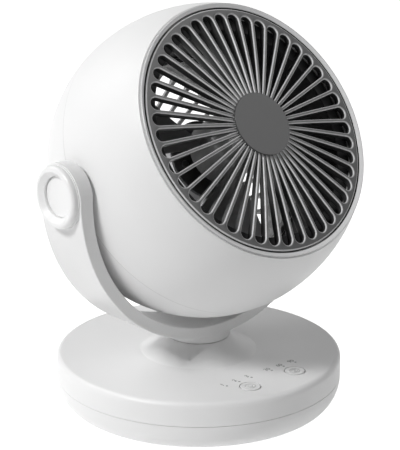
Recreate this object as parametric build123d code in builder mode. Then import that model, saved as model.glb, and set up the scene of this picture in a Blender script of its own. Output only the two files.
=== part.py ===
from build123d import *
import os
from math import acos, asin, cos, degrees, pi, radians, sin, sqrt, tan

# Desk air circulator: a ball-shaped fan head tilts in a U-shaped yoke, and the yoke swings on a
# round weighted base. Millimetres; the origin is on the table under the middle of the base,
# +Z is up, and the air leaves towards -Y.

os.makedirs("parts", exist_ok=True)

# ---------------------------------------------------------------- driving dimensions
wall = 2.4                      # moulded walls of the base and the yoke
face_gap = 0.1                  # between flat faces that turn or slide on each other
running_fit = 0.06              # radial clearance of a shaft or pin in its bearing
slip_fit = 0.3                  # clearance round covers, buttons and inlaid parts
seam_gap = 0.3                  # shadow line between two shells

# base
base_radius = 100.0
floor_radius = base_radius - 13.4   # flat underside of the pan
foot_stand = 2.0                # the feet hold the pan this far off the table
parting_height = 21.4           # seam between pan and cover
base_height = 38.0              # flat top of the cover
top_edge_width = 3.4            # rounding of the cover's upper edge, measured inwards
top_edge_drop = 4.4             # the same rounding, measured down
flare_radius = 41.0             # where the neck starts to rise from the flat top
neck_top = 48.6
foot_radius = 8.0
foot_thickness = 3.0
foot_circle = base_radius - 28.0
foot_angle = 20.0               # of the feet, from the sideways line
screw_circle = base_radius - 21.0   # four screws hold the cover to the pan
ballast_outer = base_radius - 32.0
ballast_inner = 24.0
ballast_thickness = 4.0

# controls
button_spacing = 41.2           # between the two buttons' centres
button_reach = base_radius - 24.0   # in front of the middle of the base
button_radius = 7.3
button_proud = 0.3
button_travel = 0.6
light_reach = button_reach - 10.8   # row of indicator lights behind the buttons
light_pitch = 11.2
light_radius = 0.8
board_width = 80.0
board_back = light_reach - 9.2  # rear edge of the control board
board_depth = 27.0
board_thickness = 1.6
board_height = 22.6             # underside of the control board
inlet_height = 14.0

# swing drive
post_radius = 12.0
post_bore = 8.0
bush_wall = 1.5
gear_module = 1.5
gear_teeth = 42
pinion_teeth = 14
gear_thickness = 5.0
gear_height = 24.0              # underside of the swing gear
tooth_backlash = 0.3
swing_motor_radius = 14.0
swing_shaft_offset = 8.0

# yoke
yoke_radius = 117.5             # outside of the bent strap
yoke_inner_radius = yoke_radius - 10.0
pivot_height = yoke_radius + 53.9   # the strap hangs below the pivot, over the neck
yoke_inner_drop = 2.0           # the inside is struck from a centre below the pivot
yoke_width = 44.0
yoke_edge = 0.8
collar_gap = 0.6                # visible line between neck and yoke
cap_radius = 21.2
cap_depth = 4.9                 # how far the cap's ring stands out from the yoke
cap_step = 0.5                  # the ring is this much smaller than the boss under it
cap_rounding = 2.6
cap_recess_radius = 13.6
bolt_radius = 5.0

# fan head
tilt = 32.8                     # the head looks up by this many degrees at rest
head_radius = 105.6
head_lead = 5.4                 # centre of the ball, ahead of the pivot
head_front = 116.0              # half length of the ball's front half
head_rear = 106.3               # half length of its rear half
head_wall = 2.5
mouth_station = 67.0            # front edge of the front shell
trim_front = 70.0               # front of the trim ring
grille_radius = 85.1
grille_front = 68.1             # front face of the grille's rim
hub_front = 75.4                # front face of the grille's middle disc
hub_radius = 21.8
rib_count = 45
rib_width = 2.2
slot_outer = 81.0
grille_depth = 5.0
vent_radius = 96.0              # rear opening of the rear shell
vent_slot_outer = 92.0
vent_slot_inner = 38.0
vent_wall = 3.0

# fan
fan_radius = 71.0
fan_gap = 2.0
fan_blades = 4
fan_hub_radius = 22.0
blade_phase = 76.0              # where the first blade's root stands at rest
fan_front = 55.0
fan_back = 22.0
duct_wall = 2.2
motor_radius = 26.0
motor_front = 8.0
motor_length = 42.0
shaft_radius = 3.0

# ---------------------------------------------------------------- shared places and shapes
pan_bottom = foot_stand
floor_top = pan_bottom + wall
cover_ceiling = base_height - wall
collar_bottom = neck_top + collar_gap
neck_radius = yoke_width / 2
tongue_outer = base_radius - wall - slip_fit
tongue_inner = tongue_outer - 2.0
gear_radius = gear_module * gear_teeth / 2
pinion_radius = gear_module * pinion_teeth / 2
gear_distance = gear_radius + pinion_radius
button_places = [(-button_spacing / 2, -button_reach), (button_spacing / 2, -button_reach)]

pivot = Vector(0, 0, pivot_height)
air_way = Vector(0, -cos(radians(tilt)), sin(radians(tilt)))
head_axis = Axis(pivot, air_way)
tilt_axis = Axis(pivot, (1, 0, 0))
head_face = Plane(origin=pivot, x_dir=(1, 0, 0), z_dir=air_way)
head_section = Plane(origin=pivot, x_dir=head_face.y_dir, z_dir=(1, 0, 0))


def ball_radius(station, inset=0.0):
    """Radius of the ball at a station along the head axis, with the wall taken off."""
    half_length = head_front if station > head_lead else head_rear
    share = (station - head_lead) / (half_length - inset)
    return (head_radius - inset) * sqrt(1 - share * share)


def ball_station(radius, inset=0.0):
    """Station of the ball's rear half at a radius."""
    share = radius / (head_radius - inset)
    return head_lead - (head_rear - inset) * sqrt(1 - share * share)


def ball_curve(start, end, inset=0.0):
    """Part of the ball's outline in the head section, between two stations in rising order."""
    half_length = (head_front if end > head_lead else head_rear) - inset
    across = head_radius - inset
    first = asin((start - head_lead) / half_length)
    last = asin((end - head_lead) / half_length)
    angles = [first + (last - first) * step / 6 for step in range(7)]
    return Spline(
        *[(across * cos(angle), head_lead + half_length * sin(angle)) for angle in angles],
        tangents=[(-across * sin(angle), half_length * cos(angle)) for angle in (first, last)],
    )


def gear_outline(teeth, first_angle):
    """Closed tooth outline: three points a flank, on an involute thinned by half the backlash."""
    pitch = gear_module * teeth / 2
    base = pitch * cos(radians(20))
    tip = pitch + 0.85 * gear_module
    root = pitch - 1.2 * gear_module
    half_tooth = degrees((pi * gear_module / 4 - tooth_backlash / 2) / pitch)

    def involute(radius):
        pressure = acos(base / max(radius, base))
        return degrees(tan(pressure) - pressure)

    flank = [
        (radius, half_tooth + involute(pitch) - involute(radius))
        for radius in (root, pitch - 0.35 * gear_module, pitch + 0.3 * gear_module, tip)
    ]
    points = []
    for tooth in range(teeth):
        middle = radians(first_angle + tooth * 360 / teeth)
        for radius, half in flank:
            points.append((radius * cos(middle - radians(half)), radius * sin(middle - radians(half))))
        for radius, half in reversed(flank):
            points.append((radius * cos(middle + radians(half)), radius * sin(middle + radians(half))))
    return points


def slot_outline(outer, inner, pitch_angle, bar):
    """Tapered slot between two radial bars: full-round outer end, square inner end."""
    half_pitch = radians(pitch_angle / 2)
    end_radius = (outer * sin(half_pitch) - bar / 2) / (1 + sin(half_pitch))
    centre = outer - end_radius
    lean = half_pitch
    inner_half = inner * tan(half_pitch) - bar / 2 / cos(half_pitch)
    side = (centre - end_radius * sin(lean), end_radius * cos(lean))
    with BuildSketch(mode=Mode.PRIVATE) as slot:
        with BuildLine():
            Line((inner, -inner_half), (side[0], -side[1]))
            ThreePointArc((side[0], -side[1]), (outer, 0), side)
            Line(side, (inner, inner_half))
            Line((inner, inner_half), (inner, -inner_half))
        make_face()
    return slot.sketch


def finish(built, label):
    """Names a finished piece and writes it out."""
    built.part.label = label
    export_step(built.part, f"parts/{label}.step")


# ---------------------------------------------------------------- base: pan, feet, ballast
pan_lip = parting_height - seam_gap / 2
pan_side = 12.0                 # height where the pan's inner slope meets its side
base_screw_places = PolarLocations(screw_circle, 4, start_angle=45)
foot_places = [
    (foot_circle * cos(radians(angle)), foot_circle * sin(radians(angle)))
    for angle in (foot_angle, 180 - foot_angle, 180 + foot_angle, -foot_angle)
]
pan_boss_top = 12.0
base_screw_head = 8.0           # depth of the screw's recess, from the table
ballast_peg_circle = 46.0
ballast_pegs = PolarLocations(ballast_peg_circle, 3, start_angle=150)
swing_motor_y = gear_distance + swing_shaft_offset
motor_ear_spacing = 35.0
motor_ear_top = gear_height - 1.2
motor_ear_places = [(-motor_ear_spacing / 2, swing_motor_y), (motor_ear_spacing / 2, swing_motor_y)]
inlet_face = base_radius - 9.5  # rear face of the inlet's body
inlet_body = (11.0, 12.0, 9.0)
inlet_shelf = inlet_height - inlet_body[2] / 2

with BuildPart() as base_pan:
    with BuildSketch(Plane.XZ):
        with BuildLine():
            Line((0, pan_bottom), (floor_radius, pan_bottom))
            EllipticalCenterArc(
                (floor_radius, pan_lip), base_radius - floor_radius, pan_lip - pan_bottom, 270
            )
            Polyline(
                (base_radius, pan_lip),
                (tongue_outer, pan_lip),
                (tongue_outer, pan_lip + 3),
                (tongue_inner, pan_lip + 3),
                (tongue_inner, pan_side),
                (floor_radius - 1, floor_top),
                (0, floor_top),
                (0, pan_bottom),
            )
        make_face()
    revolve(axis=Axis.Z)
    with BuildSketch(Plane.XY.offset(floor_top)):
        with base_screw_places:
            Circle(5)
    extrude(amount=pan_boss_top - floor_top)
    with BuildSketch(Plane.XY.offset(floor_top)):
        with ballast_pegs:
            Circle(3)
    extrude(amount=ballast_thickness)
    with BuildSketch(Plane.XY.offset(floor_top)):
        with Locations(*motor_ear_places):
            Circle(3.2)
    extrude(amount=motor_ear_top - 0.8 - floor_top)
    with BuildSketch(Plane.XY.offset(floor_top)):
        with Locations((0, inlet_face - inlet_body[1] / 2)):
            Rectangle(inlet_body[0], inlet_body[1])
    extrude(amount=inlet_shelf - floor_top)
    with BuildSketch(Plane.XY):
        with base_screw_places:
            Circle(3.2)
    extrude(amount=base_screw_head, mode=Mode.SUBTRACT)
    with BuildSketch(Plane.XY):
        with base_screw_places:
            Circle(1.6)
    extrude(amount=pan_boss_top, mode=Mode.SUBTRACT)
    with BuildSketch(Plane.XY):
        with Locations(*foot_places):
            Circle(foot_radius)
    extrude(amount=foot_thickness, mode=Mode.SUBTRACT)
    with BuildSketch(Plane.XY.offset(floor_top)):
        with ballast_pegs:
            Circle(1.25)
        with Locations(*motor_ear_places):
            Circle(1.25)
    extrude(amount=motor_ear_top, mode=Mode.SUBTRACT)
    with BuildSketch(Plane.XZ.offset(-inlet_face)):
        with Locations((0, inlet_height)):
            Circle(4.5 + slip_fit / 2)
    extrude(amount=-base_radius, mode=Mode.SUBTRACT)
finish(base_pan, "base_pan")

for number, place in enumerate(foot_places, start=1):
    with BuildPart() as rubber_foot:
        with BuildSketch(Plane.XY):
            with Locations(place):
                Circle(foot_radius)
        extrude(amount=foot_thickness)
        chamfer(rubber_foot.faces().sort_by(Axis.Z)[0].edges(), 0.6)
    finish(rubber_foot, f"rubber_foot_{number}")

with BuildPart() as base_screws:
    with BuildSketch(Plane.XY.offset(base_screw_head - 2)):
        with base_screw_places:
            Circle(2.8)
    extrude(amount=2)
    with BuildSketch(Plane.XY.offset(base_screw_head)):
        with base_screw_places:
            Circle(1.45)
    extrude(amount=14)
finish(base_screws, "base_screws")

with BuildPart() as ballast_plate:
    with BuildSketch(Plane.XY.offset(floor_top)):
        Circle(ballast_outer)
        Circle(ballast_inner, mode=Mode.SUBTRACT)
        with ballast_pegs:
            Circle(3 + slip_fit, mode=Mode.SUBTRACT)
        with Locations(*motor_ear_places):
            Circle(3.2 + slip_fit, mode=Mode.SUBTRACT)
    extrude(amount=ballast_thickness)
finish(ballast_plate, "ballast_plate")

with BuildPart() as ballast_screws:
    with BuildSketch(Plane.XY.offset(floor_top + ballast_thickness)):
        with ballast_pegs:
            Circle(5)
    extrude(amount=1.6)
    with BuildSketch(Plane.XY.offset(floor_top + 0.5)):
        with ballast_pegs:
            Circle(1.25)
    extrude(amount=ballast_thickness - 0.5)
finish(ballast_screws, "ballast_screws")

# ---------------------------------------------------------------- base: cover and controls
bush_outer = post_radius + running_fit + bush_wall
sleeve_outer = bush_outer + 3.0
sleeve_bottom = gear_height + gear_thickness + 1.0
bush_flange_radius = 18.0
bush_flange_bottom = neck_top - 1.6
side_bottom = parting_height + seam_gap / 2
board_top = board_height + board_thickness
board_places = [
    (-board_width / 2 + 3.5, -board_back - 4),
    (board_width / 2 - 3.5, -board_back - 4),
    (0, -button_reach - 3),
]
light_places = [
    (x + step * light_pitch, -light_reach) for x, y in button_places for step in (-1, 0, 1)
]

with BuildPart() as base_cover:
    with BuildSketch(Plane.XZ):
        with BuildLine():
            edge_centre = (base_radius - top_edge_width, base_height - top_edge_drop)
            Line((base_radius - wall, side_bottom), (base_radius, side_bottom))
            Line((base_radius, side_bottom), (base_radius, edge_centre[1]))
            EllipticalCenterArc(edge_centre, top_edge_width, top_edge_drop)
            Line((edge_centre[0], base_height), (flare_radius, base_height))
            neck_mid = (
                0.36 * flare_radius + 0.64 * neck_radius,
                base_height + 0.5 * (neck_top - base_height),
            )
            ThreePointArc((flare_radius, base_height), neck_mid, (neck_radius, neck_top))
            Polyline(
                (neck_radius, neck_top),
                (bush_flange_radius + running_fit, neck_top),
                (bush_flange_radius + running_fit, bush_flange_bottom),
                (bush_outer, bush_flange_bottom),
                (bush_outer, sleeve_bottom),
                (sleeve_outer, sleeve_bottom),
                (sleeve_outer, cover_ceiling + 6),
                (neck_radius + 2, cover_ceiling + 4),
                (flare_radius - 4, cover_ceiling),
                (edge_centre[0], cover_ceiling),
            )
            EllipticalCenterArc(edge_centre, top_edge_width - wall, top_edge_drop - wall)
            Line((base_radius - wall, edge_centre[1]), (base_radius - wall, side_bottom))
        make_face()
    revolve(axis=Axis.Z)
    with BuildSketch(Plane.XY.offset(pan_boss_top + face_gap)):
        with base_screw_places:
            Circle(4.2)
    extrude(amount=cover_ceiling - pan_boss_top)
    with BuildSketch(Plane.XY.offset(board_top)):
        with Locations(*board_places):
            Circle(3)
    extrude(amount=cover_ceiling + 0.5 - board_top)
    with BuildSketch(Plane.XY.offset(pan_boss_top)):
        with base_screw_places:
            Circle(1.45)
    extrude(amount=12, mode=Mode.SUBTRACT)
    with BuildSketch(Plane.XY.offset(board_top)):
        with Locations(*board_places):
            Circle(1.1)
    extrude(amount=7, mode=Mode.SUBTRACT)
    with BuildSketch(Plane.XY.offset(board_top)):
        with Locations(*button_places):
            Circle(button_radius + slip_fit)
        with Locations(*light_places):
            Circle(light_radius + running_fit)
    extrude(amount=base_height, mode=Mode.SUBTRACT)
finish(base_cover, "base_cover")

switch_size = 6.0
switch_height = 3.6
plunger_radius = 1.7
flange_thickness = 1.2
button_stem_bottom = board_top + switch_height + 1.0
for label, place in zip(("power", "swing"), button_places):
    with BuildPart() as button:
        with BuildSketch(Plane.XY.offset(cover_ceiling - face_gap)):
            with Locations(place):
                Circle(button_radius)
        extrude(amount=wall + face_gap + button_proud)
        fillet(button.faces().sort_by(Axis.Z)[-1].edges(), 0.5)
        with BuildSketch(Plane.XY.offset(cover_ceiling - face_gap)):
            with Locations(place):
                Circle(button_radius + 1.4)
        extrude(amount=-flange_thickness)
        with BuildSketch(Plane.XY.offset(button_stem_bottom)):
            with Locations(place):
                Circle(2.6)
        extrude(amount=cover_ceiling - face_gap - flange_thickness - button_stem_bottom)
        with BuildSketch(Plane.XY.offset(board_top + switch_height - 0.8)):
            with Locations(place):
                Circle(plunger_radius)
        extrude(amount=button_stem_bottom - board_top - switch_height + 0.8)
    finish(button, f"{label}_button")

    with BuildPart() as switch:
        with BuildSketch(Plane.XY.offset(board_top)):
            with Locations(place):
                Rectangle(switch_size, switch_size)
        extrude(amount=switch_height)
        with BuildSketch(Plane.XY.offset(board_top + switch_height)):
            with Locations(place):
                Circle(plunger_radius + slip_fit)
        extrude(amount=-(0.8 + button_travel + 0.4), mode=Mode.SUBTRACT)
    finish(switch, f"{label}_switch")

    bar_height = board_top + 6.5
    with BuildPart() as light_guide:
        with BuildSketch(Plane.XY.offset(bar_height)):
            with Locations((place[0], -light_reach)):
                Rectangle(2 * light_pitch + 4, 3)
        extrude(amount=2)
        with BuildSketch(Plane.XY.offset(bar_height)):
            with Locations((place[0], -light_reach)):
                with GridLocations(light_pitch, 1, 3, 1):
                    Circle(light_radius)
        extrude(amount=base_height - bar_height)
        with BuildSketch(Plane.XY.offset(board_top + 1.2)):
            with Locations((place[0], -light_reach)):
                with GridLocations(light_pitch, 1, 3, 1):
                    Circle(1.2)
        extrude(amount=bar_height - board_top - 1.2)
    finish(light_guide, f"{label}_light_guide")

with BuildPart() as indicator_leds:
    with BuildSketch(Plane.XY.offset(board_top)):
        with Locations(*light_places):
            Rectangle(1.6, 1.2)
    extrude(amount=0.8)
finish(indicator_leds, "indicator_leds")

with BuildPart() as control_board:
    with BuildSketch(Plane.XY.offset(board_height)):
        with Locations((0, -board_back - board_depth / 2)):
            RectangleRounded(board_width, board_depth, 2)
        with Locations(*board_places):
            Circle(1.4, mode=Mode.SUBTRACT)
    extrude(amount=board_thickness)
finish(control_board, "control_board")

with BuildPart() as board_screws:
    with BuildSketch(Plane.XY.offset(board_height)):
        with Locations(*board_places):
            Circle(2.2)
    extrude(amount=-1.6)
    with BuildSketch(Plane.XY.offset(board_height)):
        with Locations(*board_places):
            Circle(1.1)
    extrude(amount=6)
finish(board_screws, "board_screws")

with BuildPart() as power_inlet:
    with BuildSketch(Plane.XY.offset(inlet_shelf)):
        with Locations((0, inlet_face - inlet_body[1] / 2)):
            Rectangle(inlet_body[0], inlet_body[1])
    extrude(amount=inlet_body[2])
    with BuildSketch(Plane.XZ.offset(-inlet_face)):
        with Locations((0, inlet_height)):
            Circle(4.5)
    extrude(amount=-6.5)
    with BuildSketch(Plane.XZ.offset(-inlet_face + 8)):
        with Locations((0, inlet_height)):
            Circle(2.75)
            Circle(1.0, mode=Mode.SUBTRACT)
    extrude(amount=-16, mode=Mode.SUBTRACT)
finish(power_inlet, "power_inlet")

# ---------------------------------------------------------------- base: swing drive
with BuildPart() as swing_motor:
    with BuildSketch(Plane.XY.offset(floor_top + ballast_thickness + 0.5)):
        with Locations((0, swing_motor_y)):
            Circle(swing_motor_radius)
    extrude(amount=motor_ear_top - floor_top - ballast_thickness - 0.5)
    with BuildSketch(Plane.XY.offset(motor_ear_top - 0.8)):
        with Locations((0, swing_motor_y)):
            SlotCenterToCenter(motor_ear_spacing, 7)
        with Locations(*motor_ear_places):
            Circle(1.6, mode=Mode.SUBTRACT)
    extrude(amount=0.8)
    with BuildSketch(Plane.XY.offset(motor_ear_top)):
        with Locations((0, gear_distance)):
            Circle(4.5)
    extrude(amount=gear_height - motor_ear_top - face_gap)
    with BuildSketch(Plane.XY.offset(motor_ear_top - 6)):
        with Locations((0, gear_distance)):
            Circle(2.5 + running_fit)
    extrude(amount=gear_height, mode=Mode.SUBTRACT)
finish(swing_motor, "swing_motor")

with BuildPart() as swing_motor_screws:
    with BuildSketch(Plane.XY.offset(motor_ear_top)):
        with Locations(*motor_ear_places):
            Circle(2.7)
    extrude(amount=1.6)
    with BuildSketch(Plane.XY.offset(motor_ear_top - 7)):
        with Locations(*motor_ear_places):
            Circle(1.25)
    extrude(amount=7)
finish(swing_motor_screws, "swing_motor_screws")

with BuildPart() as swing_pinion:
    with BuildSketch(Plane((0, gear_distance, gear_height))):
        with BuildLine():
            Polyline(*gear_outline(pinion_teeth, -90), close=True)
        make_face()
    extrude(amount=gear_thickness)
    with BuildSketch(Plane.XY.offset(motor_ear_top - 5.5)):
        with Locations((0, gear_distance)):
            Circle(2.5)
    extrude(amount=gear_height - motor_ear_top + 5.5)
finish(swing_pinion, "swing_pinion")

post_lower_radius = post_radius - 1.5
nut_thickness = 4.0
flange_seat = collar_bottom + 5.0
post_flange_radius = 16.5
post_flange_thickness = 3.0
post_screw_places = PolarLocations((post_flange_radius + post_radius) / 2, 3, start_angle=90)

with BuildPart() as swivel_bush:
    with BuildSketch(Plane.XZ):
        with BuildLine():
            Polyline(
                (post_radius + running_fit, sleeve_bottom + 0.2),
                (bush_outer, sleeve_bottom + 0.2),
                (bush_outer, bush_flange_bottom),
                (bush_flange_radius, bush_flange_bottom),
                (bush_flange_radius, collar_bottom - face_gap),
                (post_radius + running_fit, collar_bottom - face_gap),
                close=True,
            )
        make_face()
    revolve(axis=Axis.Z)
finish(swivel_bush, "swivel_bush")

with BuildPart() as swivel_post:
    with BuildSketch(Plane.XZ):
        with BuildLine():
            Polyline(
                (post_bore, gear_height - nut_thickness - 0.5),
                (post_lower_radius, gear_height - nut_thickness - 0.5),
                (post_lower_radius, gear_height + gear_thickness),
                (post_radius, gear_height + gear_thickness),
                (post_radius, flange_seat),
                (post_flange_radius, flange_seat),
                (post_flange_radius, flange_seat + post_flange_thickness),
                (post_bore, flange_seat + post_flange_thickness),
                close=True,
            )
        make_face()
    revolve(axis=Axis.Z)
    with BuildSketch(Plane.XY.offset(flange_seat)):
        with post_screw_places:
            Circle(1.25)
    extrude(amount=post_flange_thickness, mode=Mode.SUBTRACT)
finish(swivel_post, "swivel_post")

with BuildPart() as swing_gear:
    with BuildSketch(Plane.XY.offset(gear_height)):
        with BuildLine():
            Polyline(*gear_outline(gear_teeth, 90 + 180 / gear_teeth), close=True)
        make_face()
        Circle(post_lower_radius, mode=Mode.SUBTRACT)
        with PolarLocations(21, 6):
            Circle(4, mode=Mode.SUBTRACT)
    extrude(amount=gear_thickness)
finish(swing_gear, "swing_gear")

with BuildPart() as thrust_washer:
    with BuildSketch(Plane.XY.offset(gear_height + gear_thickness)):
        Circle(sleeve_outer - 0.5)
        Circle(post_radius + running_fit, mode=Mode.SUBTRACT)
    extrude(amount=sleeve_bottom - gear_height - gear_thickness - face_gap)
finish(thrust_washer, "thrust_washer")

with BuildPart() as post_nut:
    with BuildSketch(Plane.XY.offset(gear_height - nut_thickness)):
        RegularPolygon(post_lower_radius + 4, 6, major_radius=False)
        Circle(post_lower_radius, mode=Mode.SUBTRACT)
    extrude(amount=nut_thickness)
finish(post_nut, "post_nut")

with BuildPart() as post_screws:
    with BuildSketch(Plane.XY.offset(flange_seat + post_flange_thickness)):
        with post_screw_places:
            Circle(2)
    extrude(amount=1.2)
    with BuildSketch(Plane.XY.offset(flange_seat - 3)):
        with post_screw_places:
            Circle(1.25)
    extrude(amount=3 + post_flange_thickness)
finish(post_screws, "post_screws")

# ---------------------------------------------------------------- yoke
half_width = yoke_width / 2
cover_strip = 2.0               # thickness of the strip that closes the strap
ledge = 2.2                     # the strip rests on a ledge this wide
bolt_head_radius = 8.0
bolt_head_thickness = 3.0
strap_web = 5.0                 # solid wall that the pivot bolt passes through
cap_seat = yoke_radius
yoke_bottom = collar_bottom - 1
pivot_side = Plane(origin=(0, 0, pivot_height), x_dir=(0, 1, 0), z_dir=(1, 0, 0))


def strap_profile(outer, outer_drop, inner):
    """U seen from the front: half rings struck below the pivot, with straight ends above it."""
    with BuildSketch(Plane.XZ, mode=Mode.PRIVATE) as profile:
        for radius, drop, mode in ((outer, outer_drop, Mode.ADD), (inner, yoke_inner_drop, Mode.SUBTRACT)):
            with Locations((0, pivot_height - drop)):
                Circle(radius, mode=mode)
            with Locations((0, pivot_height - drop + radius / 2)):
                Rectangle(2 * radius, radius, mode=mode)
        with Locations((0, pivot_height + half_width + outer)):
            Rectangle(2 * outer, 2 * outer, mode=Mode.SUBTRACT)
    return profile.sketch


def strap_side(reach):
    """Strap seen from the side: straight, with full-round ends about the pivot."""
    with BuildSketch(pivot_side, mode=Mode.PRIVATE) as side:
        Circle(reach)
        with Locations((0, -pivot_height / 2)):
            Rectangle(2 * reach, pivot_height)
    return side.sketch


recess_outer = yoke_inner_radius + cover_strip + face_gap
hollow_outer = yoke_radius - wall - 0.2

with BuildPart() as strip_recess:
    extrude(strap_profile(recess_outer, yoke_inner_drop, yoke_inner_radius), amount=half_width, both=True)
    extrude(strap_side(half_width - wall), amount=yoke_radius, both=True, mode=Mode.INTERSECT)

with BuildPart() as strap_hollow:
    extrude(strap_profile(hollow_outer, 0, recess_outer), amount=half_width, both=True)
    extrude(strap_side(half_width - wall - ledge), amount=yoke_radius, both=True, mode=Mode.INTERSECT)

with BuildPart() as yoke_strap:
    extrude(strap_profile(yoke_radius, 0, yoke_inner_radius), amount=half_width, both=True)
    fillet(yoke_strap.edges().filter_by(GeomType.CIRCLE), yoke_edge)
    extrude(strap_side(half_width), amount=yoke_radius, both=True, mode=Mode.INTERSECT)
    with BuildSketch(Plane.XY.offset(collar_bottom)):
        Circle(half_width)
    extrude(amount=pivot_height - yoke_radius - collar_bottom + 4.5)
    with BuildSketch(pivot_side.offset(yoke_radius - 4)):
        Circle(cap_radius)
    extrude(amount=cap_seat - yoke_radius + 4)
    with BuildSketch(pivot_side.offset(-yoke_radius + 4)):
        Circle(cap_radius)
    extrude(amount=-(cap_seat - yoke_radius + 4))
    add(strip_recess.part, mode=Mode.SUBTRACT)
    add(strap_hollow.part, mode=Mode.SUBTRACT)
    for side in (1, -1):
        with BuildSketch(pivot_side.offset(side * yoke_inner_radius)):
            Circle(bolt_head_radius + 3)
        extrude(amount=side * (cap_seat - yoke_inner_radius))
        with BuildSketch(pivot_side.offset(side * (yoke_inner_radius + strap_web))):
            Circle(bolt_head_radius + slip_fit)
        extrude(amount=side * yoke_radius, mode=Mode.SUBTRACT)
        with BuildSketch(pivot_side.offset(side * (cap_seat - 1))):
            Circle(cap_recess_radius - slip_fit)
        extrude(amount=side * yoke_radius, mode=Mode.SUBTRACT)
        with BuildSketch(pivot_side.offset(side * head_radius / 2)):
            Circle(bolt_radius + running_fit)
        extrude(amount=side * yoke_radius, mode=Mode.SUBTRACT)
    with BuildSketch(Plane.XY.offset(flange_seat)):
        Circle(post_flange_radius + slip_fit)
    extrude(amount=pivot_height / 2 - flange_seat, mode=Mode.SUBTRACT)
    with BuildSketch(Plane.XY.offset(collar_bottom)):
        Circle(post_radius)
        with post_screw_places:
            Circle(1.25)
    extrude(amount=10, mode=Mode.SUBTRACT)
finish(yoke_strap, "yoke_strap")

with BuildPart() as yoke_strip:
    extrude(
        strap_profile(yoke_inner_radius + cover_strip, yoke_inner_drop, yoke_inner_radius),
        amount=half_width,
        both=True,
    )
    extrude(strap_side(half_width - wall - slip_fit), amount=yoke_radius, both=True, mode=Mode.INTERSECT)
    with BuildSketch(pivot_side.offset(-yoke_radius)):
        Circle(bolt_head_radius + 3 + slip_fit)
    extrude(amount=2 * yoke_radius, mode=Mode.SUBTRACT)
finish(yoke_strip, "yoke_strip")

lug_face = head_radius - 14.6   # where the trunnions sit on the duct's side lugs
bolt_grip = 8.0                 # length of the pivot bolt inside a lug
web_face = yoke_inner_radius + strap_web
neck_face = yoke_inner_radius - 0.9
for label, side in (("left", -1), ("right", 1)):
    with BuildPart() as pivot_cap:
        with BuildSketch(Plane.XY.offset(pivot_height)):
            with BuildLine():
                rim = cap_seat + cap_depth
                shoulder = cap_radius - cap_step
                Polyline(
                    (side * rim, cap_recess_radius + 3.4),
                    (side * (rim - 2.6), cap_recess_radius),
                    (side * cap_seat, cap_recess_radius),
                    (side * cap_seat, cap_radius),
                    (side * (cap_seat + 0.8), cap_radius),
                    (side * (cap_seat + 0.8), shoulder),
                    (side * (rim - cap_rounding), shoulder),
                )
                RadiusArc(
                    (side * (rim - cap_rounding), shoulder),
                    (side * rim, shoulder - cap_rounding),
                    side * cap_rounding,
                )
                Line((side * rim, shoulder - cap_rounding), (side * rim, cap_recess_radius + 3.4))
            make_face()
        revolve(axis=tilt_axis)
    finish(pivot_cap, f"pivot_cap_{label}")

    with BuildPart() as pivot_disc:
        with BuildSketch(pivot_side.offset(side * (cap_seat - 1))):
            Circle(cap_recess_radius - slip_fit - 0.1)
        extrude(amount=side * 1.6)
        fillet(pivot_disc.faces().sort_by(Axis.X)[-1 if side > 0 else 0].edges(), 0.3)
    finish(pivot_disc, f"pivot_disc_{label}")

with BuildPart() as pivot_bolts:
    for side in (-1, 1):
        with BuildSketch(pivot_side.offset(side * (lug_face - bolt_grip))):
            Circle(bolt_radius)
        extrude(amount=side * (web_face + face_gap - lug_face + bolt_grip))
        with BuildSketch(pivot_side.offset(side * (web_face + face_gap))):
            Circle(bolt_head_radius)
        extrude(amount=side * bolt_head_thickness)
        with BuildSketch(pivot_side.offset(side * (web_face + face_gap + bolt_head_thickness))):
            RegularPolygon(3, 6)
        extrude(amount=-side * 2, mode=Mode.SUBTRACT)
finish(pivot_bolts, "pivot_bolts")

with BuildPart() as friction_washers:
    for side in (-1, 1):
        with BuildSketch(pivot_side.offset(side * neck_face)):
            Circle(10)
            Circle(bolt_radius + 0.1, mode=Mode.SUBTRACT)
        extrude(amount=side * (yoke_inner_radius - neck_face - face_gap))
finish(friction_washers, "friction_washers")

# ---------------------------------------------------------------- head: shells and trim
trunnion_radius = 11.0
duct_inner = fan_radius + fan_gap
duct_outer = duct_inner + duct_wall
duct_back = fan_back - 8
grille_seat = grille_front - grille_depth
shelf_front = grille_seat - face_gap
shelf_back = shelf_front - wall
shelf_inner = slot_outer + 1
duct_front = shelf_back - face_gap
duct_screw_circle = shelf_inner + 3.5
duct_screw_places = PolarLocations(duct_screw_circle, 4, start_angle=45)
seam = seam_gap / 2
mouth_radius = ball_radius(mouth_station)
trim_inner = grille_radius + slip_fit
tongue_radius = head_radius - head_wall - slip_fit
rear_depth = ball_station(0)

with BuildPart() as trunnion_passage:
    for side in (-1, 1):
        with BuildSketch(pivot_side.offset(side * lug_face)):
            Circle(trunnion_radius + slip_fit)
        extrude(amount=side * (yoke_radius - lug_face))

with BuildPart() as front_shell:
    with BuildSketch(head_section):
        with BuildLine():
            ball_curve(head_lead, mouth_station)
            Polyline(
                (mouth_radius, mouth_station),
                (mouth_radius - head_wall, mouth_station),
                (mouth_radius - head_wall, shelf_front),
                (shelf_inner, shelf_front),
                (shelf_inner, shelf_back),
                (ball_radius(shelf_back, head_wall), shelf_back),
            )
            ball_curve(head_lead, shelf_back, head_wall)
            Polyline(
                (head_radius - head_wall, head_lead),
                (head_radius - head_wall, seam),
                (head_radius, seam),
                (head_radius, head_lead),
            )
        make_face()
    revolve(axis=head_axis)
    add(trunnion_passage.part, mode=Mode.SUBTRACT)
    with BuildSketch(head_face.offset(shelf_back)):
        with duct_screw_places:
            Circle(1.4)
    extrude(amount=wall, mode=Mode.SUBTRACT)
finish(front_shell, "front_shell")

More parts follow.
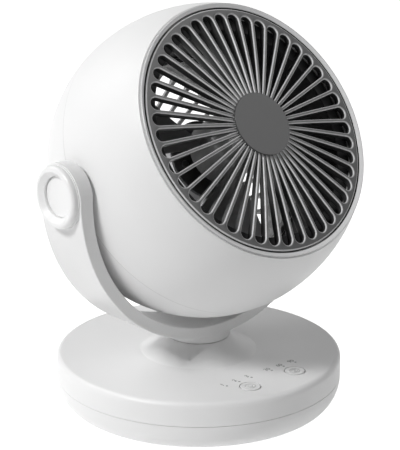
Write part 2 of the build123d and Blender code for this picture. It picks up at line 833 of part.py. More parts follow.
vent_station = ball_station(vent_radius)
vent_inner_station = ball_station(vent_radius, head_wall)
with BuildPart() as rear_shell:
    with BuildSketch(head_section):
        with BuildLine():
            Polyline(
                (ball_radius(-seam), -seam),
                (tongue_radius, -seam),
                (tongue_radius, head_lead),
                (tongue_radius - 2, head_lead),
                (tongue_radius - 2, -seam - 9),
                (ball_radius(-seam - 9, head_wall), -seam - 9),
            )
            ball_curve(vent_inner_station, -seam - 9, head_wall)
            Line((vent_radius, vent_inner_station), (vent_radius, vent_station))
            ball_curve(vent_station, -seam)
        make_face()
    revolve(axis=head_axis)
    add(trunnion_passage.part, mode=Mode.SUBTRACT)
finish(rear_shell, "rear_shell")

for label, side in (("left", -1), ("right", 1)):
    with BuildPart() as trunnion:
        with BuildSketch(pivot_side.offset(side * lug_face)):
            Circle(trunnion_radius + 3)
        extrude(amount=side * 5)
        with BuildSketch(pivot_side.offset(side * lug_face)):
            Circle(trunnion_radius)
        extrude(amount=side * (neck_face - lug_face))
        with BuildSketch(pivot_side.offset(side * lug_face)):
            Circle(bolt_radius)
        extrude(amount=side * (neck_face - lug_face), mode=Mode.SUBTRACT)
    finish(trunnion, f"trunnion_{label}")

with BuildPart() as trim_ring:
    with BuildSketch(head_section):
        with BuildLine():
            foot = mouth_radius - head_wall - face_gap
            Polyline(
                (mouth_radius - 2.4, trim_front),
                (trim_inner, grille_front + 0.2),
                (trim_inner, grille_seat),
                (foot, grille_seat),
                (foot, mouth_station + seam_gap),
                (mouth_radius - 0.2, mouth_station + seam_gap),
            )
            ThreePointArc(
                (mouth_radius - 0.2, mouth_station + seam_gap),
                (mouth_radius - 0.9, trim_front - 0.8),
                (mouth_radius - 2.4, trim_front),
            )
        make_face()
    revolve(axis=head_axis)
finish(trim_ring, "trim_ring")

# ---------------------------------------------------------------- head: grilles
pitch_angle = 360 / rib_count
hub_back = hub_front - 1.0
hub_seat = hub_radius - 6       # raised middle that carries the disc
rib_crown = 71.6                # front of a rib halfway between rim and middle
with BuildPart() as front_grille:
    with BuildSketch(head_section):
        with BuildLine():
            half_way = (slot_outer + hub_radius) / 2
            Polyline((0, hub_back), (hub_seat, hub_back), (hub_seat, hub_back - 0.4))
            ThreePointArc(
                (hub_seat, hub_back - 0.4), (half_way, rib_crown), (slot_outer + 1.5, grille_front)
            )
            Polyline(
                (slot_outer + 1.5, grille_front),
                (grille_radius, grille_front),
                (grille_radius, grille_seat),
                (slot_outer - 6, grille_seat),
                (hub_seat, hub_back - grille_depth),
                (0, hub_back - grille_depth),
                (0, hub_back),
            )
        make_face()
    revolve(axis=head_axis)
    with BuildSketch(head_face.offset(grille_seat - 5)):
        with PolarLocations(0, rib_count, start_angle=-90):
            add(slot_outline(slot_outer, hub_seat + 3, pitch_angle, rib_width))
    extrude(amount=trim_front, mode=Mode.SUBTRACT)
finish(front_grille, "front_grille")

with BuildPart() as grille_hub:
    with BuildSketch(head_face.offset(hub_back)):
        Circle(hub_radius)
    extrude(amount=hub_front - hub_back)
    fillet(grille_hub.faces().sort_by(head_axis)[-1].edges(), 0.4)
finish(grille_hub, "grille_hub")

vent_rim = vent_radius - slip_fit
stiffener = 60.0                # radius of the ring that ties the rear bars together
with BuildPart() as rear_grille:
    with BuildSketch(head_section):
        with BuildLine():
            rim_station = ball_station(vent_rim)
            ball_curve(rear_depth, rim_station)
            Line((0, rear_depth), (0, rear_depth + vent_wall))
            ball_curve(rear_depth + vent_wall, ball_station(vent_rim - 3, vent_wall), vent_wall)
            Polyline(
                (vent_rim - 3, ball_station(vent_rim - 3, vent_wall)),
                (vent_rim - 3, rim_station + 9),
                (vent_rim, rim_station + 9),
                (vent_rim, rim_station),
            )
        make_face()
    revolve(axis=head_axis)
    with BuildSketch(head_face.offset(rear_depth - 5)):
        with PolarLocations(0, rib_count, start_angle=-90):
            add(slot_outline(vent_slot_outer, vent_slot_inner, pitch_angle, rib_width + 0.3))
    extrude(amount=head_radius, mode=Mode.SUBTRACT)
    with BuildSketch(head_section):
        with Locations((stiffener, ball_station(stiffener, vent_wall))):
            Rectangle(2, 3)
    revolve(axis=head_axis)
finish(rear_grille, "rear_grille")

# ---------------------------------------------------------------- head: duct, bracket, motor
bracket_face = motor_front
bracket_plate = 2.4
arm_count = 3
arm_width = 6.0
bracket_ring = duct_outer - 2.4
motor_back = motor_front - motor_length
bearing_radius = 8.0
bearing_length = 5.0
motor_wall = 1.5
motor_screw_places = PolarLocations(motor_radius - 6, 4, start_angle=0)

lug_side = Plane(origin=pivot, x_dir=air_way, z_dir=(1, 0, 0))
lug_length = duct_back + 20
with BuildPart() as duct_ring:
    with BuildSketch(head_section):
        with BuildLine():
            Polyline(
                (duct_inner, duct_back),
                (duct_outer, duct_back),
                (duct_outer, duct_front - wall),
                (duct_screw_circle + 3.5, duct_front - wall),
                (duct_screw_circle + 3.5, duct_front),
                (duct_inner, duct_front),
                close=True,
            )
        make_face()
    revolve(axis=head_axis)
    for side in (-1, 1):
        with BuildSketch(lug_side.offset(side * lug_face)):
            Circle(trunnion_radius + 3)
            with Locations((lug_length / 2, 0)):
                Rectangle(lug_length, 2 * trunnion_radius)
        extrude(amount=-side * (lug_face - duct_outer + 1))
        with BuildSketch(pivot_side.offset(side * lug_face)):
            Circle(bolt_radius)
        extrude(amount=-side * (bolt_grip + 0.2), mode=Mode.SUBTRACT)
    with BuildSketch(head_face.offset(duct_front)):
        with duct_screw_places:
            Circle(1.6)
    extrude(amount=-wall, mode=Mode.SUBTRACT)
finish(duct_ring, "duct_ring")

with BuildPart() as duct_screws:
    with BuildSketch(head_face.offset(duct_front - wall)):
        with duct_screw_places:
            Circle(2.6)
    extrude(amount=-1.6)
    with BuildSketch(head_face.offset(duct_front - wall)):
        with duct_screw_places:
            Circle(1.4)
    extrude(amount=wall + face_gap + wall)
finish(duct_screws, "duct_screws")

with BuildPart() as motor_bracket:
    with BuildSketch(head_face.offset(bracket_face)):
        Circle(motor_radius + 2)
        Circle(bearing_radius + 1, mode=Mode.SUBTRACT)
        with motor_screw_places:
            Circle(1.6, mode=Mode.SUBTRACT)
    extrude(amount=bracket_plate)
    with BuildSketch(head_face.offset(bracket_face)):
        with PolarLocations((motor_radius + bracket_ring) / 2, arm_count, start_angle=30):
            Rectangle(bracket_ring - motor_radius, arm_width)
    extrude(amount=duct_back - face_gap - bracket_face)
    with BuildSketch(head_face.offset(bracket_face)):
        Circle(bracket_ring)
        Circle(bracket_ring - 3, mode=Mode.SUBTRACT)
    extrude(amount=duct_back - face_gap - bracket_face)
finish(motor_bracket, "motor_bracket")

with BuildPart() as motor_screws:
    with BuildSketch(head_face.offset(bracket_face + bracket_plate)):
        with motor_screw_places:
            Circle(2.6)
    extrude(amount=1.6)
    with BuildSketch(head_face.offset(bracket_face + bracket_plate)):
        with motor_screw_places:
            Circle(1.4)
    extrude(amount=-bracket_plate - 3)
finish(motor_screws, "motor_screws")

with BuildPart() as motor_cap:
    with BuildSketch(head_face.offset(bracket_face)):
        Circle(motor_radius)
        with motor_screw_places:
            Circle(1.4, mode=Mode.SUBTRACT)
    extrude(amount=-3)
    with BuildSketch(head_face.offset(bracket_face - bearing_length - 1)):
        Circle(bearing_radius + motor_wall)
    extrude(amount=bearing_length + 1)
    with BuildSketch(head_face.offset(bracket_face)):
        Circle(bearing_radius)
    extrude(amount=-bearing_length, mode=Mode.SUBTRACT)
    with BuildSketch(head_face.offset(bracket_face)):
        Circle(shaft_radius + 1)
    extrude(amount=-bearing_length - 1, mode=Mode.SUBTRACT)
finish(motor_cap, "motor_cap")

with BuildPart() as motor_housing:
    with BuildSketch(head_section):
        with BuildLine():
            bearing_seat = motor_back + motor_wall
            Polyline(
                (0, motor_back),
                (motor_radius, motor_back),
                (motor_radius, bracket_face - 3),
                (motor_radius - motor_wall, bracket_face - 3),
                (motor_radius - motor_wall, bearing_seat),
                (bearing_radius + motor_wall, bearing_seat),
                (bearing_radius + motor_wall, bearing_seat + bearing_length),
                (bearing_radius, bearing_seat + bearing_length),
                (bearing_radius, bearing_seat),
                (0, bearing_seat),
                close=True,
            )
        make_face()
    revolve(axis=head_axis)
    fillet(motor_housing.edges().sort_by(head_axis)[0], 1.2)
finish(motor_housing, "motor_housing")

for label, start in (("front", bracket_face - bearing_length), ("rear", motor_back + motor_wall)):
    with BuildPart() as bearing:
        with BuildSketch(head_face.offset(start)):
            Circle(bearing_radius)
            Circle(shaft_radius + running_fit, mode=Mode.SUBTRACT)
        extrude(amount=bearing_length)
    finish(bearing, f"{label}_bearing")

with BuildPart() as motor_stator:
    with BuildSketch(head_face.offset(motor_back + motor_wall + bearing_length + 3)):
        Circle(motor_radius - motor_wall)
        Circle(13, mode=Mode.SUBTRACT)
        with PolarLocations(18.5, 6):
            RectangleRounded(7, 5, 1, mode=Mode.SUBTRACT)
    extrude(amount=20)
finish(motor_stator, "motor_stator")

# ---------------------------------------------------------------- fan
with BuildPart() as motor_rotor:
    with BuildSketch(head_face.offset(motor_back + motor_wall + bearing_length + 4)):
        Circle(12.4)
        Circle(shaft_radius, mode=Mode.SUBTRACT)
    extrude(amount=18)
finish(motor_rotor, "motor_rotor")

nut_seat = fan_front - 6
with BuildPart() as motor_shaft:
    with BuildSketch(head_face.offset(motor_back + motor_wall + 0.5)):
        Circle(shaft_radius)
    extrude(amount=nut_seat + 5 - motor_back - motor_wall - 0.5)
finish(motor_shaft, "motor_shaft")

blade_sections = [
    # radius, pitch from the fan's plane in degrees
    (fan_hub_radius - 4, 30.4),
    (34.0, 24.8),
    (50.0, 20.0),
    (64.0, 16.8),
    (fan_radius + 3, 14.4),
]
blade_chord = 90.0              # wider than the blade, which is trimmed to its outline below
blade_bow = 4.0
blade_thickness = 2.0
blade_drop = 7.5                # how far the blades' middle lies behind the hub's
blade_sweep = -15.0             # how far the tip's middle runs behind the root's, in degrees
blade_root_half = 10.0          # half the blade's angle at the hub
blade_tip_behind = 20.0         # the tip's angle behind its middle
blade_tip_ahead = 26.0          # and ahead of it
blade_corner = 12.0             # rounding of the tip's corners


def polar(radius, angle):
    return (radius * cos(radians(angle)), radius * sin(radians(angle)))


with BuildPart() as blade:
    for radius, pitch in blade_sections:
        swept = polar(1, blade_sweep * (radius - fan_hub_radius) / (fan_radius - fan_hub_radius))
        out_way = head_face.x_dir * swept[0] + head_face.y_dir * swept[1]
        round_way = head_face.y_dir * swept[0] - head_face.x_dir * swept[1]
        middle = pivot + air_way * ((fan_front + fan_back) / 2 - blade_drop) + out_way * radius
        chord_way = round_way * cos(radians(pitch)) + air_way * sin(radians(pitch))
        with BuildSketch(Plane(origin=middle, x_dir=chord_way, z_dir=out_way)):
            with BuildLine():
                half = blade_chord / 2
                ThreePointArc((-half, 0), (0, blade_bow), (half, 0))
                Line((half, 0), (half, -blade_thickness))
                ThreePointArc(
                    (half, -blade_thickness), (0, blade_bow - blade_thickness), (-half, -blade_thickness)
                )
                Line((-half, -blade_thickness), (-half, 0))
            make_face()
    loft()
    with BuildSketch(head_face):
        with BuildLine():
            root = fan_hub_radius - 1
            low_tip = blade_sweep - blade_tip_behind
            high_tip = blade_sweep + blade_tip_ahead
            Line(polar(root, -blade_root_half), polar(fan_radius, low_tip))
            ThreePointArc(
                polar(fan_radius, low_tip), polar(fan_radius, blade_sweep), polar(fan_radius, high_tip)
            )
            Line(polar(fan_radius, high_tip), polar(root, blade_root_half))
            ThreePointArc(polar(root, blade_root_half), (root, 0), polar(root, -blade_root_half))
        outline = make_face()
        tips = outline.vertices().sort_by(lambda corner: (corner.center() - pivot).length)[-2:]
        fillet(tips, blade_corner)
    extrude(amount=2 * fan_front, both=True, mode=Mode.INTERSECT)

with BuildPart() as impeller:
    with BuildSketch(head_section):
        with BuildLine():
            Polyline(
                (shaft_radius, fan_back + 4),
                (shaft_radius + 4, fan_back + 4),
                (shaft_radius + 4, nut_seat - 2),
                (fan_hub_radius - 2, nut_seat - 2),
                (fan_hub_radius - 2, fan_back),
                (fan_hub_radius, fan_back),
                (fan_hub_radius, nut_seat - 4),
            )
            ThreePointArc(
                (fan_hub_radius, nut_seat - 4),
                (fan_hub_radius - 1.2, nut_seat - 1.2),
                (fan_hub_radius - 4, nut_seat),
            )
            Polyline((fan_hub_radius - 4, nut_seat), (shaft_radius, nut_seat), (shaft_radius, fan_back + 4))
        make_face()
    revolve(axis=head_axis)
    for number in range(fan_blades):
        add(blade.part.rotate(head_axis, blade_phase + number * 360 / fan_blades))
finish(impeller, "impeller")

with BuildPart() as blade_nut:
    with BuildSketch(head_section):
        with BuildLine():
            Polyline(
                (shaft_radius, nut_seat), (9, nut_seat), (8, nut_seat + 4), (6, nut_seat + 6),
                (0, nut_seat + 6), (0, nut_seat + 5), (shaft_radius, nut_seat + 5), close=True,
            )
        make_face()
    revolve(axis=head_axis)
finish(blade_nut, "blade_nut")
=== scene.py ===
"""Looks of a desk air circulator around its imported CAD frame.

The object is a ball-shaped fan head in a U-shaped yoke on a round base. Everything is in metres in
the row frame: +Z is up and the air leaves towards -Y. The camera looks from the front left, 41
degrees from the front and 17 degrees above level, from 1.14 m away.
"""

import math

import bmesh
import bpy
import numpy as np
from mathutils import Matrix, Vector


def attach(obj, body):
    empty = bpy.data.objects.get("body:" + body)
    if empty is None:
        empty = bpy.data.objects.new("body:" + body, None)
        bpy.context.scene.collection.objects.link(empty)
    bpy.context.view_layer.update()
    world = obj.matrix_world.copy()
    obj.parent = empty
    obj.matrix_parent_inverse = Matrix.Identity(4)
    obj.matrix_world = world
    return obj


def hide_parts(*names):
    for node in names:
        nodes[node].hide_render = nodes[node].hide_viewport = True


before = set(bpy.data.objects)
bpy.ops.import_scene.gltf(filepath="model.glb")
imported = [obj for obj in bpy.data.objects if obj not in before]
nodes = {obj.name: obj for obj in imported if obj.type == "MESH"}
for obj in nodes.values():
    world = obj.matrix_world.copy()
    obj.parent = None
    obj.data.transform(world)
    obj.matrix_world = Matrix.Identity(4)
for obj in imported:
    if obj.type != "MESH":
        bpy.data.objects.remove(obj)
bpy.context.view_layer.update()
mm = 0.001

# Camera.
# A long lens at the photograph's place. It orbits a point on the object's axis, 128.5 mm above the
# table, and a small shift puts the middle of the picture where the photograph has it.
sight_azimuth = math.radians(-41.15)
sight_elevation = math.radians(17.39)
sight_target = Vector((0, 0, 0.1285))
sight_back = Vector(
    (
        math.sin(sight_azimuth) * math.cos(sight_elevation),
        -math.cos(sight_azimuth) * math.cos(sight_elevation),
        math.sin(sight_elevation),
    )
)
camera_data = bpy.data.cameras.new("camera")
camera_data.lens = 132.42
camera_data.sensor_width = 36
camera_data.shift_x = 0.00344
camera_data.shift_y = -0.0005
camera_data.clip_end = 50
camera = bpy.data.objects.new("camera", camera_data)
camera.matrix_world = Matrix.Translation(sight_target + sight_back * 1.14189) @ (
    sight_back.to_track_quat("Z", "Y").to_matrix().to_4x4()
)
bpy.context.scene.collection.objects.link(camera)
bpy.context.scene.camera = camera
bpy.context.scene.view_settings.view_transform = "Standard"

# White housings: base pan and cover, and the two shells of the head.
# Injection-moulded ABS with a fine spark-eroded texture in the tool, so the skin is satin and has no
# sharp reflections; pan and cover are screwed together from below, the shells snap together.


def moulded_skin(name, colour, roughness, grain, depth, tint=0.02, coat=0.0, shine=0.5):
    """Plastic skin: the colour varies by the tint with large soft noise, and fine noise with grains
    of the given size in metres lifts the surface by the given depth. Coat is a clear gloss on top,
    and shine is how strongly the plastic itself mirrors."""
    material = bpy.data.materials.new(name)
    material.use_nodes = True
    tree = material.node_tree
    shader = tree.nodes["Principled BSDF"]
    shader.inputs["Coat Weight"].default_value = coat
    shader.inputs["Coat Roughness"].default_value = 0.25
    shader.inputs["Specular IOR Level"].default_value = shine
    place = tree.nodes.new("ShaderNodeTexCoord")
    clouds = tree.nodes.new("ShaderNodeTexNoise")
    clouds.inputs["Scale"].default_value = 18
    clouds.inputs["Detail"].default_value = 2
    tone = tree.nodes.new("ShaderNodeMix")
    tone.data_type = "RGBA"
    tone.inputs["A"].default_value = (*[c * (1 - tint) for c in colour], 1)
    tone.inputs["B"].default_value = (*[min(1, c * (1 + tint)) for c in colour], 1)
    speckle = tree.nodes.new("ShaderNodeTexNoise")
    speckle.inputs["Scale"].default_value = 1 / grain
    speckle.inputs["Detail"].default_value = 3
    gloss = tree.nodes.new("ShaderNodeMapRange")
    gloss.inputs["To Min"].default_value = roughness - 0.05
    gloss.inputs["To Max"].default_value = roughness + 0.05
    bump = tree.nodes.new("ShaderNodeBump")
    bump.inputs["Strength"].default_value = 0.35
    bump.inputs["Distance"].default_value = depth
    link = tree.links.new
    link(place.outputs["Object"], clouds.inputs["Vector"])
    link(place.outputs["Object"], speckle.inputs["Vector"])
    link(clouds.outputs["Fac"], tone.inputs["Factor"])
    link(tone.outputs["Result"], shader.inputs["Base Color"])
    link(speckle.outputs["Fac"], gloss.inputs["Value"])
    link(gloss.outputs["Result"], shader.inputs["Roughness"])
    link(speckle.outputs["Fac"], bump.inputs["Height"])
    link(bump.outputs["Normal"], shader.inputs["Normal"])
    return material


def dress(material, *names):
    """Gives CAD nodes a material, in every slot they have."""
    for name in names:
        slots = nodes[name].data.materials
        slots.clear()
        slots.append(material)


white_skin = moulded_skin("white_skin", (0.87, 0.87, 0.87), 0.42, 0.0006, 0.00002)
dress(white_skin, "base_pan", "base_cover")

# The head's shells meet in a plane through the pivot, square to the air's way. Their lips are
# slightly broken there, and shade_joint darkens the skin along the joint with painted shade.
tilt = math.radians(32.8)
pivot = np.array([0, 0, 171.4]) * mm
head_across = np.array([1.0, 0, 0])
head_up = np.array([0, math.sin(tilt), math.cos(tilt)])
head_ahead = np.array([0, -math.cos(tilt), math.sin(tilt)])


def shade_joint(material, shade, near, far):
    """Paints shade on a skin within a distance of the plane through the pivot square to the air's
    way: the distance is the point's dot product with that way, less the pivot's."""
    tree = material.node_tree
    shader = tree.nodes["Principled BSDF"]
    skin = shader.inputs["Base Color"].links[0].from_socket
    place = tree.nodes.new("ShaderNodeTexCoord")
    along = tree.nodes.new("ShaderNodeVectorMath")
    along.operation = "DOT_PRODUCT"
    along.inputs[1].default_value = head_ahead
    offset = tree.nodes.new("ShaderNodeMath")
    offset.operation = "SUBTRACT"
    offset.inputs[1].default_value = float(pivot @ head_ahead)
    distance = tree.nodes.new("ShaderNodeMath")
    distance.operation = "ABSOLUTE"
    fade = tree.nodes.new("ShaderNodeMapRange")
    fade.inputs["From Min"].default_value = near
    fade.inputs["From Max"].default_value = far
    mix = tree.nodes.new("ShaderNodeMix")
    mix.data_type = "RGBA"
    mix.inputs["A"].default_value = (shade, shade, shade, 1)
    link = tree.links.new
    link(place.outputs["Object"], along.inputs[0])
    link(along.outputs["Value"], offset.inputs[0])
    link(offset.outputs["Value"], distance.inputs[0])
    link(distance.outputs["Value"], fade.inputs["Value"])
    link(fade.outputs["Result"], mix.inputs["Factor"])
    link(skin, mix.inputs["B"])
    link(mix.outputs["Result"], shader.inputs["Base Color"])


shell_skin = moulded_skin("shell_skin", (0.84, 0.84, 0.84), 0.44, 0.0006, 0.00002, shine=0.4)
shade_joint(shell_skin, 0.66, 0.0002, 0.0005)
dress(shell_skin, "front_shell", "rear_shell")

# Yoke: a U-shaped arm of the same white plastic, closed inside by a bent strip.
# The arm is one moulding 44 mm wide; the strip clips in flush and hides the ribs. The caps and the
# discs over the two pivots are smoother and a little glossier.
yoke_skin = moulded_skin("yoke_skin", (0.82, 0.82, 0.82), 0.4, 0.0006, 0.00002)
cap_skin = moulded_skin("cap_skin", (0.84, 0.84, 0.84), 0.3, 0.0008, 0.000004, coat=0.1)
dress(yoke_skin, "yoke_strap", "yoke_strip")
dress(cap_skin, "pivot_cap_left", "pivot_cap_right", "pivot_disc_left", "pivot_disc_right")

# Light guides and the swivel's bush.
# Clear acrylic rods that show as small dots in the cover, and an acetal bush and gears.
clear_rod = moulded_skin("clear_rod", (0.35, 0.35, 0.35), 0.15, 0.002, 0.000005, coat=0.5)
dress(clear_rod, "power_light_guide", "swing_light_guide")
acetal = moulded_skin("acetal", (0.78, 0.78, 0.75), 0.35, 0.002, 0.00001)
dress(acetal, "swivel_bush", "swing_gear", "swing_pinion")
led_resin = moulded_skin("led_resin", (0.8, 0.72, 0.4), 0.2, 0.001, 0.000005, coat=0.5)
dress(led_resin, "indicator_leds")

# Mouldings inside the head: grille, duct, motor bracket, rear bars and impeller.
# Black and dark grey ABS and polypropylene, straight from the tool; the duct has a deep matt
# texture, and the rear bars are white like the shell that they snap into.
grille_skin = moulded_skin("grille_skin", (0.042, 0.042, 0.043), 0.35, 0.0007, 0.00001, tint=0.06)
vent_skin = moulded_skin("vent_skin", (0.8, 0.8, 0.8), 0.4, 0.0007, 0.00002)
duct_skin = moulded_skin("duct_skin", (0.035, 0.035, 0.036), 0.65, 0.0009, 0.00004, 0.08, shine=0.25)
bracket_skin = moulded_skin("bracket_skin", (0.14, 0.14, 0.143), 0.45, 0.0009, 0.00002, tint=0.08)
blade_skin = moulded_skin("blade_skin", (0.3, 0.3, 0.304), 0.35, 0.0012, 0.00001, tint=0.08)
dress(grille_skin, "front_grille", "grille_hub")
dress(vent_skin, "rear_grille")
dress(duct_skin, "duct_ring")
dress(bracket_skin, "motor_bracket", "trunnion_left", "trunnion_right")
dress(blade_skin, "impeller", "blade_nut")

# Grille face: 45 radial bars between an outer rim and the middle.
# One black moulding. Each bar is 2.2 mm wide with rounded edges, the slots end in full rounds near
# the rim, and the bars rise towards the middle, where a disc covers their ends.


def in_head(points):
    """Points given as (across, up, ahead) in millimetres, in the row frame in metres."""
    return pivot + (
        points[..., :1] * head_across + points[..., 1:2] * head_up + points[..., 2:] * head_ahead
    ) * mm


def new_piece(name, points, faces, material, body, edge=None):
    """Makes one merged mesh object from points and faces, with its normals facing outwards. Edge
    is how far each point takes the skin's second colour: painted highlight on the grille, painted shade
    on the trim."""
    mesh = bpy.data.meshes.new(name)
    mesh.from_pydata(points.reshape(-1, 3).tolist(), [], faces)
    if edge is not None:
        mesh.attributes.new("edge", "FLOAT", "POINT").data.foreach_set("value", edge)
    work = bmesh.new()
    work.from_mesh(mesh)
    bmesh.ops.remove_doubles(work, verts=work.verts, dist=1e-6)
    bmesh.ops.recalc_face_normals(work, faces=work.faces)
    work.to_mesh(mesh)
    work.free()
    mesh.polygons.foreach_set("use_smooth", [True] * len(mesh.polygons))
    mesh.materials.append(material)
    piece = bpy.data.objects.new(name, mesh)
    bpy.context.scene.collection.objects.link(piece)
    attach(piece, body)
    return piece


def grid_faces(rows, columns, first=0):
    """Quads of a grid of points that is stored row by row."""
    corner = first + np.arange(rows - 1)[:, None] * columns + np.arange(columns - 1)
    quads = np.stack([corner, corner + 1, corner + columns + 1, corner + columns], -1)
    return quads.reshape(-1, 4)


def paint_edge_shading(material, colour):
    """Mixes a skin's colour towards another one by the mesh's edge attribute, from 0 to 1: a pale one
    paints a highlight, a dark one paints shade.
    """
    tree = material.node_tree
    shader = tree.nodes["Principled BSDF"]
    skin = shader.inputs["Base Color"].links[0].from_socket
    edge = tree.nodes.new("ShaderNodeAttribute")
    edge.attribute_name = "edge"
    mix = tree.nodes.new("ShaderNodeMix")
    mix.data_type = "RGBA"
    mix.inputs["B"].default_value = (*colour, 1)
    tree.links.new(edge.outputs["Fac"], mix.inputs["Factor"])
    tree.links.new(skin, mix.inputs["A"])
    tree.links.new(mix.outputs["Result"], shader.inputs["Base Color"])


# The bars' rounded edges and the rim's outer round are mixed towards near white: a painted highlight.
bar_skin = moulded_skin("bar_skin", (0.05, 0.05, 0.051), 0.3, 0.0007, 0.00001, tint=0.06)
paint_edge_shading(bar_skin, (0.92, 0.92, 0.925))
bar_count = 45
half_pitch = math.pi / bar_count
bar_half = 1.1
slot_end = 81.0
rim_inner = 82.5
rim_outer = 84.7
edge_round = 1.05
edge_depth = 0.85
middle_radius = 15.8
middle_front, half_way_front, rim_front = 74.0, 71.6, 68.1
middle_back, rim_back = 69.4, 63.1
half_way_radius = 51.4
level_radius = 75.0
front_of_bar = np.polyfit(
    [middle_radius, half_way_radius, rim_inner], [middle_front, half_way_front, rim_front], 2
)


def bar_front(radius):
    """Front of a bar: a parabola in the radius through its two ends and its middle."""
    return np.polyval(front_of_bar, np.clip(radius, middle_radius, rim_inner))


def bar_back(radius):
    """Back of a bar: straight from the middle plate to the rim, then level."""
    return np.interp(radius, [middle_radius, level_radius], [middle_back, rim_back])


# half a slot's outline: the straight flank from where two bars meet, then the round end
apex = bar_half / math.sin(half_pitch)
round_radius = (slot_end * math.sin(half_pitch) - bar_half) / (1 + math.sin(half_pitch))
round_centre = slot_end - round_radius
corner_turn = math.atan2(
    rim_inner * math.sin(half_pitch), rim_inner * math.cos(half_pitch) - round_centre
)
flank = np.linspace(apex + 0.4, round_centre - round_radius * math.sin(half_pitch), 14)
turn = np.concatenate(
    [
        np.linspace(math.pi / 2 + half_pitch, corner_turn, 6)[1:],
        np.linspace(corner_turn, 0, 8)[1:],
    ]
)
outline = np.concatenate(
    [
        np.stack([flank, (flank - apex) * math.tan(half_pitch)], -1),
        np.stack([round_centre + round_radius * np.cos(turn), round_radius * np.sin(turn)], -1),
    ]
)
outward = np.concatenate(
    [
        np.tile([-math.sin(half_pitch), math.cos(half_pitch)], (len(flank), 1)),
        np.stack([np.cos(turn), np.sin(turn)], -1),
    ]
)
to_bar_middle = round_centre * math.sin(half_pitch) / np.sin(np.maximum(turn - half_pitch, 1e-6))
to_rim = -round_centre * np.cos(turn) + np.sqrt(rim_inner**2 - (round_centre * np.sin(turn)) ** 2)
reach = np.concatenate(
    [
        np.full(len(flank), bar_half),
        np.where(turn > corner_turn + 1e-9, to_bar_middle, to_rim) - round_radius,
    ]
)
# rows from a bar's middle in front, over the rounded edge and down the wall, to its middle behind:
# the side, how far from the slot, how far below that side, and how much painted highlight
bend = np.linspace(0, math.pi / 2, 6)
over_edge = [
    ("front", edge_round * (1 - math.sin(t)), edge_depth * (1 - math.cos(t)), math.sin(t) ** 1.5)
    for t in bend
]
front_edge = [("front", None, 0.0, 0)] + over_edge + [("front", 0.0, 1.3, 0)]
back_edge = [
    ("back", 0.0, 0.5, 0),
    ("back", 0.15, 0.15, 0),
    ("back", 0.5, 0.0, 0),
    ("back", None, 0.0, 0),
]
rows = []
bar_highlight = []
for side, offset, sink, shine in front_edge + back_edge:
    bar_highlight.append(np.full(len(outline), shine))
    away = reach if offset is None else np.full(len(outline), offset)
    spot = outline + outward * away[:, None]
    radius = np.hypot(spot[:, 0], spot[:, 1])
    level = bar_front(radius) - sink if side == "front" else bar_back(radius) + sink
    rows.append(np.column_stack([spot, level]))
half_slot = np.array(rows)

# the rim's section, from its inner edge in front, round the outside, to its inner edge at the back
rim_turn = np.linspace(0, math.pi / 2, 6)
rim_round = 1.1
shoulder = rim_front - rim_round
rim_profile = np.array(
    [(rim_inner, rim_front)]
    + [
        (rim_outer - rim_round + rim_round * math.sin(t), shoulder + rim_round * math.cos(t))
        for t in rim_turn
    ]
    + [(rim_outer, shoulder - 0.8), (rim_outer, rim_back), (rim_inner, rim_back)]
)
# painted highlight on the rim's outer round
rim_highlight = np.concatenate([[0], np.sin(2 * rim_turn), [0, 0, 0]])
rim_angles = np.arctan2(half_slot[0, len(flank) + 4 :, 1], half_slot[0, len(flank) + 4 :, 0])
half_rim = np.stack(
    [
        rim_profile[:, :1] * np.cos(rim_angles),
        rim_profile[:, :1] * np.sin(rim_angles),
        np.repeat(rim_profile[:, 1:], len(rim_angles), 1),
    ],
    -1,
)
points = []
faces = []
painted_highlights = []
start = 0
for number in range(bar_count):
    turned = -math.pi / 2 + number * 2 * half_pitch
    for hand in (1, -1):
        for patch in (half_slot, half_rim):
            across = patch[..., 0] * math.cos(turned) - hand * patch[..., 1] * math.sin(turned)
            up = patch[..., 0] * math.sin(turned) + hand * patch[..., 1] * math.cos(turned)
            points.append(np.stack([across, up, patch[..., 2]], -1).reshape(-1, 3))
            faces += grid_faces(patch.shape[0], patch.shape[1], start).tolist()
            painted_highlights.append(
                np.ravel(bar_highlight) if patch is half_slot else np.repeat(rim_highlight, patch.shape[1])
            )
            if patch is half_slot:
                faces.append([start + row * patch.shape[1] for row in range(patch.shape[0])])
            start += patch.shape[0] * patch.shape[1]
grille_face = new_piece(
    "grille_face",
    in_head(np.concatenate(points)),
    faces,
    bar_skin,
    "head",
    np.concatenate(painted_highlights),
)
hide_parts("front_grille")

# Trim ring: the narrow band between the white shell and the dark grille.
# Moulded in light grey and pressed into the shell's mouth. Its face leans inwards like a shallow
# funnel; its outer wall and the gap inside it are darkened with painted shade, where little light gets
# in.
trim_grey = moulded_skin("trim_grey", (0.8, 0.8, 0.805), 0.25, 0.0007, 0.00001, tint=0.03, coat=0.4)
# painted shade on the trim's outer wall, lip and inner gap
paint_edge_shading(trim_grey, (0.02, 0.02, 0.02))
trim_outer = 88.75
lip_round = 0.6
trim_inner = 85.6
trim_back = 63.2
ring_steps = 240


def head_ring(profile, count):
    """Points and faces of a closed profile of (radius, station) turned about the head's axis."""
    around = np.linspace(0, 2 * math.pi, count, endpoint=False)
    ring = np.stack(
        [
            profile[:, :1] * np.cos(around),
            profile[:, :1] * np.sin(around),
            np.repeat(profile[:, 1:], count, 1),
        ],
        -1,
    )
    here = np.arange(len(profile) * count).reshape(len(profile), count)
    down = np.roll(here, -1, 0)
    quads = np.stack([here, np.roll(here, -1, 1), np.roll(down, -1, 1), down], -1)
    return in_head(ring.reshape(-1, 3)), quads.reshape(-1, 4).tolist()
